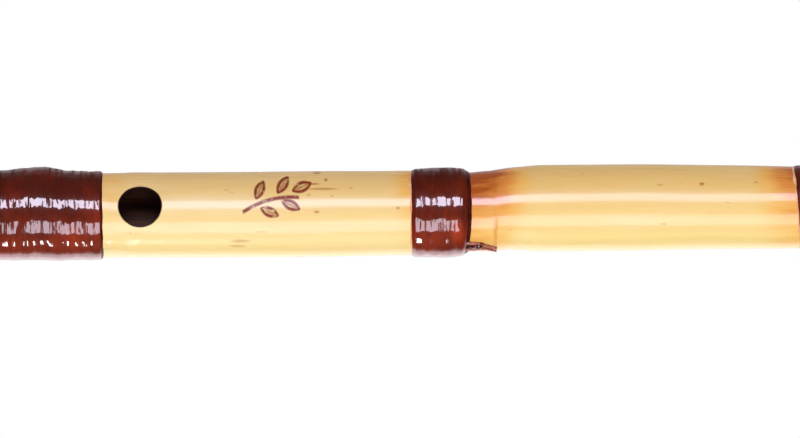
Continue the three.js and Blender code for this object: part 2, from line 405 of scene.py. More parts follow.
def grainedMaterial(name, look):
    # a grain between two colours; a second grain may lay a third colour over them
    material, start, place = newMaterial(name)
    main = grain(place, *look["grain"])
    low, high, first, second = look["colours"]
    colour = mixed(between(main, low, high), first, second)
    relief = main
    if "overGrain" in look:
        over = grain(place, *look["overGrain"])
        low, high, share, third = look["overColour"]
        colour = mixed(between(over, low, high, share), colour, third)
        if look.get("bothRaised"):
            relief = over + main
    most, least = look["roughness"]
    inputs = {
        "Base Color": colour,
        "Roughness": main * most + least,
        "Normal": bumped(start, relief, *look["bump"]),
    }
    if "IOR" in look:
        inputs["IOR"] = look["IOR"]
    finishMaterial(start, inputs)
    return material


# colours of the cane's skin; deep and pale also carry painted shade and painted light on its +X and -X
# sides
caneColours = {
    "deep": paint(240, 203, 127),
    "pale": paint(249, 225, 151),
    "pith": paint(255, 238, 190),
    "fibre": paint(240, 218, 184),
    "hair": paint(236, 208, 165),
    "fingerSide": paint(255, 254, 244),
    "weakStain": paint(246, 190, 94),
    "stain": paint(228, 146, 62),
    "strongStain": paint(180, 86, 26),
    "scar": paint(220, 170, 124),
    "fleck": paint(190, 128, 62),
    "sprig": paint(140, 56, 6),
    "scorch": paint(70, 30, 18),
    "burn": paint(34, 16, 12),
}

# how stained the cane is below and above each binding, and how many millimetres each stain reaches
stainSet = {
    "binding_1": (0.7, 0.3, 13, 7),
    "binding_2": (0.55, 0.35, 13, 7),
    "binding_3": (0.75, 0.3, 13, 7),
    "binding_4": (0.25, 0.3, 13, 7),
    "binding_5": (1.55, 0.45, 18, 7),
    "binding_6": (0.8, 0.85, 13, 14),
}

# small marks in the skin: picture column and row, half length and half height in pixels, darkness
flecks = (
    (317, 173, 4, 1.2, 0.7),
    (326, 180, 1.6, 1.4, 0.8),
    (314, 184, 6, 1.0, 0.75),
    (323, 189, 14, 1.2, 0.6),
    (317, 212, 2.6, 1.4, 0.7),
    (309, 195, 2, 1.0, 0.45),
    (398, 208, 2.2, 1.4, 0.6),
    (351, 188, 2, 1.0, 0.4),
    (332, 196, 1.6, 1.0, 0.4),
    (241, 241, 9, 1.6, 0.45),
    (238, 246, 8, 1.3, 0.35),
    (262, 232, 5, 1.0, 0.25),
    (227, 190, 3, 1.0, 0.25),
    (701, 184, 2.4, 1.5, 0.85),
    (659, 185, 3, 1.0, 0.4),
    (663, 224, 3, 1.0, 0.35),
)

# a little sprig burnt into the skin: leaves as picture column and row, half length, half width and lean
sprig = {
    "stemMiddle": (270, 200),
    "stemHalf": 30,
    "stemLean": 15,
    "stemBend": 0.006,
    "line": 1.9,
    "rib": 0.7,                 # how dark a leaf's rib is
    "leaves": (
        (302, 187, 9.5, 4.0, 24),
        (283, 185, 9.0, 3.6, 58),
        (291, 205, 9.5, 3.6, -26),
        (260, 190, 9.0, 3.6, 68),
        (270, 212, 9.0, 3.6, -24),
    ),
}


def fleckMask(place, front):
    total = 0
    pixel = photo["pixel"] / mm
    for column, row, halfLength, halfHeight, darkness in flecks:
        scale = (1 / (halfHeight * pixel), 0.0, 1 / (halfLength * pixel))
        reach = reachFrom(place, pictureSpot(column, row), scale)
        total = total + fade(reach, 0.4, 1.5, darkness)
    return total * front


def leanedPlace(place, column, row, lean):
    # how far places are along and across a line that leans in the picture, in pixels
    side, depth, height = apart(movedFrom(place, pictureSpot(column, row)))
    right = height * (-mm / photo["pixel"])
    up = side * (mm / photo["pixel"])
    cosine = math.cos(math.radians(lean))
    sine = math.sin(math.radians(lean))
    return right * cosine + up * sine, up * cosine - right * sine


def sprigMask(place, front):
    line = sprig["line"]
    along, across = leanedPlace(place, *sprig["stemMiddle"], sprig["stemLean"])
    bend = across + along * along * sprig["stemBend"]
    ends = fade(abs(along), sprig["stemHalf"] - 2, sprig["stemHalf"])
    total = fade(abs(bend), line * 0.5, line * 1.5) * ends
    for column, row, halfLength, halfWidth, lean in sprig["leaves"]:
        along, across = leanedPlace(place, column, row, lean)
        share = along / halfLength
        edge = (1 - share * share) * halfWidth - abs(across)
        rim = fade(abs(edge), line * 0.4, line * 1.4) * (abs(along) < halfLength + 1)
        rib = fade(abs(across), line * 0.2, line) * between(edge, 0, 0.6) * sprig["rib"]
        for mark in (rim, rib):
            total = total.maths("MAXIMUM", total, mark)
    return total * front


def stainMask(place, side, height):
    total = 0
    for name in nodeNames:
        below, above, reachBelow, reachAbove = stainSet[name]
        low, high = [end / mm for end in spans[name]]
        middle = nodeHeights[name] / mm
        under = between(height, low - reachBelow, low + 1, below) * (height < middle)
        over = fade(height, high - 1, high + reachAbove, above) * (height > middle)
        total = under + over + total
    streak = grain(place, (0.34, 0.34, 0.055), 4, 0.6, 5.0)
    blotch = grain(place, (0.16, 0.16, 0.12), 2, 0.5, 11.0)
    # stains are made stronger towards the +X side
    towardsPlusX = between(side, -5, 9)
    return total * (towardsPlusX * 0.7 + 0.3) * (streak * 1.5 + blotch * 0.9 - 0.2)


def rimDistance(place):
    # how far outside the edge of the nearest hole a place is, in millimetres, to 100 at most
    turn = math.radians(skinSet["holeTurn"])
    nearest = 100
    for holes, facing, width in ((thumbHoles, -1, "thumbWidth"), (fingerHoles, 1, "fingerWidth")):
        half = (holeSet[width] + holeSet["flare"]) / 2 / mm
        squeeze = half / (half + holeSet["stretch"] / 2 / mm)
        for hole in holes:
            out = facing * skinRadius(hole) / mm
            middle = skinMiddle(hole) / mm
            centre = (middle - out * math.sin(turn), out * math.cos(turn), hole / mm)
            reach = reachFrom(place, centre, (1, 1, squeeze)) - half
            nearest = reach.maths("MINIMUM", nearest, reach)
    return nearest


def caneSkinMaterial():
    material, start, place = newMaterial("caneSkin")
    side, depth, height = apart(place)
    front = fade(depth, -1.5, 0.5)
    bands = grain(place, (0.22, 0.22, 0.004), 2, 0.5)
    clouds = grain(place, (0.1, 0.1, 0.018), 3, 0.5, 3.0)
    fibres = grain(place, (3.2, 3.2, 0.05), 4, 0.6)
    hairs = grain(place, (9.0, 9.0, 0.12), 2, 0.5, 7.0)
    ragged = grain(place, (0.5, 0.5, 0.2), 2, 0.5, 1.0) * 1.2 - 0.6
    specks = grain(place, (1.1, 1.1, 0.3), 2, 0.5, 20.0)
    patchy = grain(place, (0.9, 0.9, 0.9), 2, 0.6, 9.0)
    stain = stainMask(place, side, height)
    drawing = sprigMask(place, front)
    rim = rimDistance(place)
    layers = [
        (mixed, between(clouds, 0.5, 0.8, 0.4), "pith"),
        (tinted, between(fibres, 0.42, 0.75, 0.26), "fibre"),
        (tinted, between(hairs, 0.55, 0.8, 0.2), "hair"),
        (tinted, fade(height, 184, 196), "fingerSide"),
        (mixed, between(stain, 0.02, 0.4), "weakStain"),
        (mixed, between(stain, 0.3, 0.75), "stain"),
        (mixed, between(stain, 0.7, 1.25), "strongStain"),
    ]
    for name in nodeNames:
        scar = nodeHeights[name] / mm - skinSet["scarDrop"] / mm
        line = fade(abs(height - scar + ragged), 0.1, 0.7)
        layers.append((tinted, line * between(clouds, 0.42, 0.62, 0.5), "scar"))
    layers += [
        (tinted, between(specks, 0.73, 0.8, 0.7), "fleck"),
        (tinted, fleckMask(place, front), "fleck"),
        (mixed, drawing * between(patchy, 0.15, 0.5), "sprig"),
        (mixed, fade(rim + (patchy - 0.5) * 0.3, 0.0, 0.36, 0.6), "scorch"),
        (mixed, fade(rim, -0.04, 0.1), "burn"),
    ]
    # painted light and shade: the skin is paler towards -X, the side the lower lamps light, and deeper
    # towards +X; random bands are mixed in
    paintedSideLightAndBands = fade(side, -6, 9) * 0.8 + (bands - 0.5) * 0.9
    colour = mixed(paintedSideLightAndBands, caneColours["deep"], caneColours["pale"])
    for blend, mask, tone in layers:
        colour = blend(mask, colour, caneColours[tone])
    finishMaterial(start, {
        "Base Color": colour,
        "Roughness": fibres * 0.14 + clouds * 0.06 + drawing * 0.15 + 0.17,
        "Normal": bumped(start, fibres * 0.5 + hairs * 0.3 - drawing * 0.8, 0.02 * mm, 0.5),
        "IOR": 1.42,
        "Specular Tint": (0.55, 0.74, 1.0, 1.0),
        "Coat Weight": between(stain, 0.05, 0.5, 0.5) + 0.24,
        "Coat Roughness": 0.09,
        "Coat IOR": 1.45,
    })
    return material


boreLook = {
    "grain": ((2.0, 2.0, 0.08), 4, 0.6),
    "colours": (0.3, 0.7, paint(84, 46, 28), paint(124, 76, 46)),
    "overGrain": ((0.2, 0.2, 0.06), 3, 0.5, 4.0),
    "overColour": (0.5, 0.75, 0.6, paint(56, 30, 20)),
    "roughness": (0.2, 0.55),
    "bump": (0.05 * mm, 0.6),
}

burntWallLook = {
    "grain": ((1.6, 1.6, 1.6), 4, 0.6),
    "colours": (0.4, 0.7, paint(22, 12, 10), paint(58, 26, 18)),
    "overGrain": ((1.2, 1.2, 5.0), 3, 0.6, 8.0),
    "overColour": (0.6, 0.8, 0.4, paint(78, 40, 24)),
    "roughness": (0.3, 0.35),
    "bump": (0.06 * mm, 0.6),
    "bothRaised": True,
}


def endGrainMaterial():
    material, start, place = newMaterial("caneEndGrain")
    side, depth, height = apart(place)
    cells = place.add("TexVoronoi", None, {"Vector": place, "Scale": 3.2})
    fine = place.add("TexVoronoi", None, {"Vector": place, "Scale": 6.5})
    square = side * side + depth * depth
    outer = between(square.maths("SQRT", square), 7.6, 9.3)
    colour = mixed(outer, paint(214, 180, 124), paint(184, 138, 80))
    colour = mixed(fade(cells, 0.12, 0.3, 0.75), colour, paint(120, 78, 42))
    colour = mixed(fade(fine, 0.1, 0.35) * outer * 0.7, colour, paint(104, 64, 34))
    finishMaterial(start, {
        "Base Color": colour,
        "Roughness": cells * 0.2 + 0.5,
        "Normal": bumped(start, cells, 0.08 * mm, 0.7),
    })
    return material


thumbHoles = []
fingerHoles = []
for opening in frame["record"]["physics"]["openings"]:
    low, high = opening["box_m"]
    middleHeight = (low[2] + high[2]) / 2
    if opening["name"].startswith("thumb"):
        thumbHoles.append(middleHeight)
    elif opening["name"].startswith("finger") and not opening["name"].endswith("across"):
        fingerHoles.append(middleHeight)
print("holes read:", len(thumbHoles), "thumb,", len(fingerHoles), "finger")


def spacedHeights(low, high, step, windows):
    # heights from low to high: even steps, and the same finer rows in each hole's window
    heights = []
    start = low
    for window in sorted(windows):
        bottom = window - holeSet["windowHalf"]
        top = window + holeSet["windowHalf"]
        count = max(1, round((bottom - start) / step))
        heights.extend(np.linspace(start, bottom, count, endpoint=False))
        heights.extend(np.linspace(bottom, top, holeSet["windowRows"], endpoint=False))
        start = top
    count = max(1, round((high - start) / step))
    heights.extend(np.linspace(start, high, count + 1))
    return np.array(heights)


def withMore(heights, extra):
    return np.unique(np.round(np.concatenate([heights, extra]), 7))


def caneRows():
    # rows of the closed section: up the skin, over the tenon, and down the bore
    windows = thumbHoles + fingerHoles
    edge = skinSet["boreEdge"]
    outside = spacedHeights(skinRings[0][0], stepHeight, skinSet["rowStep"], windows)
    inside = spacedHeights(edge, topHeight - edge, skinSet["boreStep"], windows)
    clearOf = holeSet["windowHalf"] + holeSet["windowSpare"]
    scarHalf = skinSet["scarHalf"]
    collarEdge = skinSet["collarHalf"] + skinSet["collarBevel"]
    scarRows = []
    collarRows = []
    for name in nodeNames:
        scar = nodeHeights[name] - skinSet["scarDrop"]
        if all(abs(scar - window) > clearOf for window in windows):
            scarRows.extend(scar + np.linspace(-scarHalf, scarHalf, skinSet["scarRows"]))
        for offset in (-collarEdge, -skinSet["collarHalf"], skinSet["collarHalf"], collarEdge):
            collarRows.append(nodeHeights[name] + offset)
    return withMore(outside, scarRows), withMore(inside, collarRows)[::-1]


def boreRadiusAt(height):
    # the bore's radius, less at the collar that each node's wall leaves
    nearest = min(abs(height - nodeHeights[name]) for name in nodeNames)
    rise = (skinSet["collarHalf"] + skinSet["collarBevel"] - nearest) / skinSet["collarBevel"]
    return boreRadius - skinSet["collarHeight"] * min(max(rise, 0), 1)


def loopOf(rows, height, columnLow, columnHigh):
    # grid places round a hole's window, along its low row first
    low = int(np.argmin(abs(rows - (height - holeSet["windowHalf"]))))
    high = int(np.argmin(abs(rows - (height + holeSet["windowHalf"]))))
    step = 1 if high > low else -1
    loop = [(low, column) for column in range(columnLow, columnHigh)]
    loop += [(row, columnHigh) for row in range(low, high, step)]
    loop += [(high, column) for column in range(columnHigh, columnLow, -1)]
    loop += [(row, columnLow) for row in range(high, low, -step)]
    return loop


def makeCane():
    columns = skinSet["columns"]
    turns = math.radians(skinSet["holeTurn"]) + turnsOf(columns)
    outside, inside = caneRows()
    edgeRadius = boreRadius + skinSet["boreEdge"]
    grid = [ringPoint(0, footRadius, turns, 0.0)]
    for height in outside:
        grid.append(onSkin(turns, height))
    for radius, height in ((tenonRadius, stepHeight), (tenonRadius, topHeight), (edgeRadius, topHeight)):
        grid.append(ringPoint(0, radius, turns, height))
    firstInside = len(grid)
    for height, middle in zip(inside, np.where(inside > stepHeight, 0, skinMiddle(inside))):
        grid.append(ringPoint(middle, boreRadiusAt(height), turns, height))
    grid.append(ringPoint(0, edgeRadius, turns, 0.0))
    points = [tuple(point) for row in grid for point in row]
    skin, bore, ends, burnt = range(4)
    inWindow = set()
    faces = []
    kinds = []

    # the skin is joined to the bore through each hole, by rings of points
    holes = [(height, 0, holeSet["thumbWidth"]) for height in thumbHoles]
    holes += [(height, columns // 2, holeSet["fingerWidth"]) for height in fingerHoles]
    halfColumns = holeSet["windowColumns"] // 2
    for seed, (height, middleColumn, width) in enumerate(holes):
        windowColumns = range(middleColumn - halfColumns, middleColumn + halfColumns)
        outLoop = loopOf(outside, height, windowColumns.start, windowColumns.stop)
        inLoop = loopOf(inside, height, windowColumns.start, windowColumns.stop)
        for loop, first in ((outLoop, 1), (inLoop, firstInside)):
            loopRows = [row + first for row, column in loop]
            for row in range(min(loopRows), max(loopRows)):
                inWindow.update((row, column % columns) for column in windowColumns)
        offsets = np.array([column - middleColumn for row, column in outLoop]) * fullTurn / columns
        levels = np.array([outside[row] for row, column in outLoop])
        upward = levels - height
        sideways = np.sin(offsets) / math.sin(halfColumns * fullTurn / columns)
        angle = np.arctan2(upward / holeSet["windowHalf"], sideways)
        dice = np.random.default_rng(seed + 40)
        wobble = 1
        for wave in range(2, 7):
            wobble = wobble + holeSet["wobble"] / wave * np.sin(wave * angle + dice.uniform(0, 6.28))

        # outlines are two rows of numbers: across the cane, and along it
        outline = np.stack([np.cos(angle), np.sin(angle)]) * wobble
        centreTurn = turns[middleColumn]
        halfAcross = (width + holeSet["flare"]) / 2
        halves = np.array([[halfAcross], [halfAcross + holeSet["stretch"] / 2]])
        skinWindow = np.stack([skinRadius(levels) * np.sin(offsets), upward])
        boreWindow = np.stack([boreRadius * np.sin(offsets), upward])
        boreLine = outline * [[width], [width + holeSet["stretch"]]] / 2
        rings = [[(row + 1) * columns + column % columns for row, column in outLoop]]
        ringKinds = []

        def skinPlace(place, depth=0):
            level = height + place[1]
            return onSkin(centreTurn + np.arcsin(place[0] / skinRadius(level)), level, -depth)

        def borePlace(place):
            level = height + place[1]
            turn = centreTurn + np.arcsin(place[0] / boreRadius)
            return ringPoint(skinMiddle(level), boreRadius, turn, level)

        def addRing(newPoints, kind):
            rings.append(list(range(len(points), len(points) + len(newPoints))))
            points.extend(tuple(point) for point in newPoints)
            ringKinds.append(kind)

        lip = holeSet["lipWidth"]
        for share in holeSet["skinRings"]:
            addRing(skinPlace(partWay(skinWindow, outline * (halves + lip), share)), skin)
        for share in holeSet["lipRings"]:
            bend = share * math.pi / 2
            depth = holeSet["lipDepth"] * (1 - math.cos(bend))
            edge = skinPlace(outline * (halves + lip * (1 - math.sin(bend))), depth)
            addRing(edge, skin if share == holeSet["lipRings"][0] else burnt)
        inner = borePlace(boreLine)
        for share in holeSet["wallRings"]:
            rough = dice.normal(0, holeSet["wallRoughness"], len(edge))
            wall = partWay(edge, inner, share)
            wall[:, 2] += rough * outline[1]
            wall[:, 0] += rough * outline[0] * math.cos(centreTurn)
            addRing(wall, burnt)
        addRing(inner, burnt)
        for share in holeSet["boreRings"]:
            addRing(borePlace(partWay(boreLine, boreWindow, share)), bore)
        rings.append([(row + firstInside) * columns + column % columns for row, column in inLoop])
        ringKinds.append(bore)
        for ring, after, kind in zip(rings, rings[1:], ringKinds):
            for index, corner in enumerate(ring):
                beside = (index + 1) % len(ring)
                faces.append((corner, ring[beside], after[beside], after[index]))
                kinds.append(kind)

    rows = len(grid)
    endRows = (0, firstInside - 4, firstInside - 2, firstInside - 1, rows - 2, rows - 1)
    for index, face in enumerate(loopFaces(rows, columns)):
        row, column = divmod(index, columns)
        if (row, column) not in inWindow:
            faces.append(face)
            kinds.append(ends if row in endRows else bore if row >= firstInside else skin)
    boreWall = grainedMaterial("boreWall", boreLook)
    burntWall = grainedMaterial("burntHoleWall", burntWallLook)
    materials = [caneSkinMaterial(), boreWall, endGrainMaterial(), burntWall]
    cane = makePiece("caneTube", points, faces, materials, kinds)
    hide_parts("cane_body")


makeCane()
print("cane made")


def turnAtRow(column, row):
    # the turn at which a row of the picture meets the skin
    height = heightAt(column)
    share = (sideAt(row) - float(skinMiddle(height))) / float(skinRadius(height) + photo["standOff"])
    return math.asin(min(max(share, -photo["widest"]), photo["widest"]))


windingSet = {
    "columns": 96,
    "rowStep": 0.125 * mm,
    "insideStep": 1.5 * mm,
    "levelStep": 1.6 * mm,      # between the heights at which the CAD's winding is measured
    "shoulderRows": 14,
    "threadPitch": 0.56 * mm,
    "threadHeight": 0.004 * mm,
    "turnUnevenness": 0.009 * mm,
    "lumps": 0.028 * mm,
    "broadLumps": 0.03 * mm,
    "footShoulder": 1.3 * mm,   # length of the steep end towards the foot
    "shortShoulder": 0.5 * mm,  # the same on the wide winding
    "footCorner": 0.14,         # how much of the steep end its first rounding takes
    "mouthCorner": 0.22,
    "topCorner": 0.08,          # the rounding where either end reaches its full height
    "footFall": 0.6 * mm,       # how far the winding sinks towards its foot end
    "fallLength": 4.8 * mm,
    "shortFall": 0.1 * mm,      # the same on the wide winding
    "footBulge": 0.25 * mm,     # the end runs further down at the front and the back
    "mouthTaper": 1 * mm,       # length of the thinner end towards the mouth
    "mouthFall": 0.31 * mm,     # how far the winding sinks towards that end
    "mouthFallLength": 8 * mm,
    "calmTurn": -40,            # degrees, a side where the turns lie smoother
    "calmHalf": 15,
    "calmShare": 0.75,
    "spotHalf": 10,             # degrees, half the turn of a smooth spot
    "footWander": 0.04 * mm,
    "mouthWander": 0.08 * mm,
    "footReach": 0.3 * mm,      # how far the lacquer runs past the thread
    "shortReach": 0.0,          # the same on the wide winding
    "edgeShare": 0.55,          # how much of the steep end is dull and darkened with painted shade
    "lowerBy": 0.09 * mm,       # keeps the lumps inside the CAD's winding
    "softTop": 0.05 * mm,       # lumps flatten over this height as they near it
    "clear": 0.02 * mm,
}

# a winding's ripples: waves, most of them round it, shortest and longest wave
windingRipples = {
    "footWander": (6, 5, 90 * mm, 200 * mm),
    "mouthWander": (6, 5, 90 * mm, 200 * mm),
    "turns": (50, 24, 0.8 * mm, 2.0 * mm),
    "threadShown": (16, 4, 2 * mm, 7 * mm),
    "lumps": (24, 12, 2.5 * mm, 6 * mm),
    "broadLumps": (12, 4, 7 * mm, 20 * mm),
}

# swellings of the wide winding over the bud: picture column, turn, half length, half turn and height
swellings = {
    "budDip": (30, 90, 2.4, 40, -0.32),
    "budTop": (48, 90, 2.2, 40, 0.1),
    "budBack": (8, 90, 3.6, 44, 0.5),
    "lowEnd": (94, 90, 2.2, 60, -0.22),
}

# smooth spots of thick lacquer: picture column and row, half length and tilt towards the mouth
smoothSpots = {
    "binding_5": ((419, 241, 0.95, 0.086), (447.5, 241, 0.55, 0.133)),
    "binding_4": ((6, 243.5, 1.2, -0.03),),
}


def levelOf(name):
    # the outside of the CAD's winding, by height
    points = pointsOf(name + "_thread")
    heights = points[:, 2]
    low, high = heights.min(), heights.max()
    away = np.hypot(points[:, 0] - skinMiddle(heights), points[:, 1])
    edges = np.linspace(low, high, max(3, int((high - low) / windingSet["levelStep"]) + 1))
    levels = []
    for bottom, top in zip(edges, edges[1:]):
        levels.append(away[(heights >= bottom) & (heights <= top)].max())
    return smoothCurve((edges[:-1] + edges[1:]) / 2, levels)


def lacquerMaterial():
    material, start, place = newMaterial("redBrownLacquer")
    side, depth, height = apart(place)
    turnsOfThread = grain(place, (0.05, 0.05, 1.7), 3, 0.6)
    fineThread = grain(place, (0.12, 0.12, 4.5), 2, 0.5, 6.0)
    depthOfCoat = grain(place, (0.13, 0.13, 0.16), 3, 0.5, 2.0)
    front = fade(depth, -4, 6)
    # painted light: each winding is coloured redder and brighter on its lower front, where the lower lamps
    # light it; random depth of coat is mixed in
    paintedLitSideAndCoatDepth = fade(side, -9, 5) * 0.45 * front + (depthOfCoat - 0.5) * 1.3 + 0.12
    colour = mixed(between(paintedLitSideAndCoatDepth, 0.0, 1.0), paint(82, 25, 12), paint(152, 46, 12))
    colour = mixed(between(turnsOfThread, 0.45, 0.75, 0.5), colour, paint(72, 20, 10))
    colour = mixed(between(fineThread, 0.5, 0.8, 0.3), colour, paint(132, 46, 18))
    # painted light: a brighter red glow on the front of the narrow winding's lower end
    paintedGlowReach = reachFrom(place, pictureSpot(457, 231), (0.26, 0.0, 0.55))
    colour = mixed(fade(paintedGlowReach, 0.2, 1.1, 0.75) * front, colour, paint(170, 58, 26))
    grime = grain(place, (0.5, 0.5, 0.5), 4, 0.6, 13.0)
    grooves = grain(place, (0.1, 0.1, 1.35), 2, 0.5, 21.0)
    jags = grain(place, (0.7, 0.7, 1.1), 2, 0.5, 27.0)
    groove = between(grooves + (jags - 0.5) * 0.3, 0.54, 0.6) * between(side, -8.8, -7.6)
    finishMaterial(start, {
        "Base Color": colour,
        "Roughness": between(grime, 0.45, 0.8, 0.2) + 0.3,
        "Normal": bumped(start, turnsOfThread * 0.6 + fineThread * 0.4, 0.02 * mm, 0.5),
        "IOR": 1.2,
        "Coat Weight": groove * -0.92 + 1,
        "Coat Roughness": 0.06,
        "Coat IOR": 1.7,
    })
    return material


# the duller lacquer on a winding's sloping end, with painted shade: its colour is darkened where the end
# turns away from the lamps
dullEdgePaintedShadeLook = {
    "grain": ((0.5, 0.5, 1.5), 3, 0.6, 4.0),
    "colours": (0.35, 0.7, paint(50, 15, 12), paint(84, 27, 16)),
    "roughness": (0.2, 0.2),
    "bump": (0.02 * mm, 0.5),
    "IOR": 1.22,
}

seepLook = {
    "grain": ((0.6, 0.6, 0.9), 3, 0.5),
    "colours": (0.35, 0.7, paint(244, 200, 150), paint(232, 156, 96)),
    "roughness": (0.1, 0.1),
    "bump": (0.03 * mm, 0.5),
    "IOR": 1.55,
}


lacquer = lacquerMaterial()
dullEdgePaintedShade = grainedMaterial("dullLacquerEdgePaintedShade", dullEdgePaintedShadeLook)
amberSeep = grainedMaterial("amberSeep", seepLook)

# how far each winding's ends lean: foot end and mouth end, at the +X side
leans = {
    "binding_6": (0.2 * mm, 0.75 * mm),
    "binding_5": (-0.1 * mm, 0.05 * mm),
    "binding_4": (0.1 * mm, 0.0),
    "others": (0.15 * mm, -0.1 * mm),
}


def bevel(share, start):
    # rises from 0 to 1 along a slope; the first corner takes the share start, and both are round
    first = start * np.sqrt(np.clip(1 - (1 - np.clip(share / start, 0, 1)) ** 2, 0, 1))
    slope = first + (1 - start) * np.clip((share - start * 0.3) / (1 - start * 0.3), 0, 1)
    corner = windingSet["topCorner"]
    near = np.clip((slope - (1 - corner)) / (2 * corner), 0, 1)
    return np.where(slope > 1 - corner, 1 - corner + 2 * corner * (near - near ** 2 / 2), slope)


def fromTurnOf(turns, middle):
    # degrees from a middle turn, the short way round
    return (np.degrees(turns) - middle + 180) % 360 - 180


def makeWinding(name, seed):
    columns = windingSet["columns"]
    turns = turnsOf(columns)
    footEnd, mouthEnd = spans[name]
    length = mouthEnd - footEnd
    kind = "short" if name == "binding_4" else "foot"
    footReach, footShoulder, footFall = [windingSet[kind + part] for part in ("Reach", "Shoulder", "Fall")]
    footLean, mouthLean = leans.get(name, leans["others"])
    waves = {}
    for order, (part, values) in enumerate(windingRipples.items()):
        waves[part] = ripples(seed + order, *values)
    footEdge = footEnd - footReach + footLean * np.sin(turns)
    footEdge = footEdge + windingSet["footWander"] * waves["footWander"](turns, footEnd)
    if name == "binding_5":
        footEdge = footEdge - windingSet["footBulge"] * np.cos(2 * turns)
    mouthEdge = mouthEnd + mouthLean * np.sin(turns)
    mouthEdge = mouthEdge + windingSet["mouthWander"] * waves["mouthWander"](turns, mouthEnd)
    level = levelOf(name)

    def evenAt(height):
        # the winding's radius without its unevenness
        footSunk = np.clip(1 - (height - footEdge) / windingSet["fallLength"], 0, 1)
        mouthSunk = np.clip(1 - (mouthEdge - height) / windingSet["mouthFallLength"], 0, 1)
        falls = footFall * footSunk ** 2 + windingSet["mouthFall"] * mouthSunk ** 2
        return level(height) - windingSet["lowerBy"] - falls

    shares = np.linspace(0, 1, int(length / windingSet["rowStep"]))
    closer = 1 - np.cos(np.linspace(0, math.pi / 2, windingSet["shoulderRows"]))
    last = windingSet["shoulderRows"] - 2
    shares = np.concatenate([closer[:-1] * shares[last], shares[last:]])
    rows = []
    for share in shares:
        height = partWay(footEdge, mouthEdge, share)
        skin = skinRadius(height) + reliefAt(turns, height)
        fromFoot = np.clip((height - footEdge) / footShoulder, 0, 1)
        shoulder = bevel(fromFoot, windingSet["footCorner"])
        fromMouth = np.clip((mouthEdge - height) / windingSet["mouthTaper"], 0, 1)
        taper = bevel(fromMouth, windingSet["mouthCorner"])
        phase = fullTurn * (height / windingSet["threadPitch"] - turns / fullTurn)
        shown = np.clip(0.8 + 0.35 * waves["threadShown"](turns, height), 0.2, 1.4)
        fromCalm = fromTurnOf(turns, windingSet["calmTurn"]) / windingSet["calmHalf"]
        rough = 1 - windingSet["calmShare"] * np.exp(-fromCalm ** 2)
        uneven = windingSet["threadHeight"] * shown * np.cos(phase) * rough
        uneven = uneven + windingSet["turnUnevenness"] * waves["turns"](turns, height) * rough
        for part in ("lumps", "broadLumps"):
            uneven = uneven + windingSet[part] * waves[part](turns, height)
        full = evenAt(height) + uneven
        for column, row, halfLength, tilt in smoothSpots.get(name, ()):
            spotHeight = heightAt(column)
            along = height - spotHeight
            fromSpot = fromTurnOf(turns, math.degrees(turnAtRow(column, row))) / windingSet["spotHalf"]
            spot = np.exp(-(along / (halfLength * mm)) ** 4 - fromSpot ** 4)
            lineTilt = (skinMiddle(spotHeight + mm) - skinMiddle(spotHeight - mm)) / (2 * mm)
            flat = evenAt(spotHeight) - (tilt + lineTilt * np.sin(turns)) * along
            full = partWay(full, flat, spot)
        if name == "binding_4":
            for column, turn, halfLength, halfTurn, rise in swellings.values():
                fromMiddle = (height - heightAt(column)) / (halfLength * mm)
                fromTurn = fromTurnOf(turns, turn) / halfTurn
                full = full + rise * mm * np.exp(-fromMiddle ** 2 - fromTurn ** 2)
        crest = level(height)
        full = crest - windingSet["softTop"] * np.logaddexp(0, (crest - full) / windingSet["softTop"])
        radius = skin + windingSet["clear"] + (full - skin - windingSet["clear"]) * shoulder * taper
        rows.append(ringPoint(skinMiddle(height), radius, turns, height))
    for share in np.linspace(1, 0, max(6, int(length / windingSet["insideStep"]))):
        rows.append(onSkin(turns, partWay(footEdge, mouthEdge, share), -windingSet["clear"]))
    dullShadedRows = int((shares * length < footShoulder * windingSet["edgeShare"]).sum())
    kinds = [int(row < dullShadedRows) for row in range(len(rows)) for column in range(columns)]
    piece = makeTube(name + "_winding", rows, [lacquer, dullEdgePaintedShade], kinds, sharp=60)
    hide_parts(name + "_bed", name + "_thread")
    makeSeep(name, footEdge, mouthEdge, seed)


seepSet = {
    "columns": 96,
    "width": 0.24 * mm,
    "footWidth": 0.08 * mm,
    "height": 0.1 * mm,
    "under": 0.35 * mm,         # how far it starts beneath the winding
    "creep": 0.45,              # how much its width varies
    "leastCreep": -1.4,
    "mostCreep": 2.4,
    # its section: share of the width and of the height
    "section": (
        (0, 0.9), (0.25, 1.0), (0.5, 0.75), (0.75, 0.42),
        (1, 0.02), (0.75, -0.3), (0.25, -0.3), (0, -0.3),
    ),
}


def makeSeep(name, footEdge, mouthEdge, seed):
    # lacquer that crept out along both ends of a winding; the strip at the foot end takes the dull edge
    # colour, a dark line of painted shade along that edge
    columns = seepSet["columns"]
    turns = turnsOf(columns)
    points = []
    faces = []
    for side, edge, wide in ((-1, footEdge, "footWidth"), (1, mouthEdge, "width")):
        creep = ripples(seed + 20 + side, 14, 16, 90 * mm, 200 * mm)(turns, 0.0)
        creep = np.clip(creep, seepSet["leastCreep"], seepSet["mostCreep"])
        width = seepSet[wide] * (1 + seepSet["creep"] * creep)
        rows = []
        for share, lift in seepSet["section"]:
            height = edge - side * seepSet["under"] + side * (seepSet["under"] + width) * share
            rows.append(onSkin(turns, height, seepSet["height"] * lift))
        faces += loopFaces(len(rows), columns, len(points))
        points.extend(point for row in rows[::side] for point in row)
    kinds = [1] * (len(faces) // 2) + [0] * (len(faces) // 2)
    piece = makePiece(name + "_seep", points, faces, [amberSeep, dullEdgePaintedShade], kinds, sharp=80)


for order, windingName in enumerate(bindingNames):
    makeWinding(windingName, 100 + order * 10)
print("windings made:", len(bindingNames))


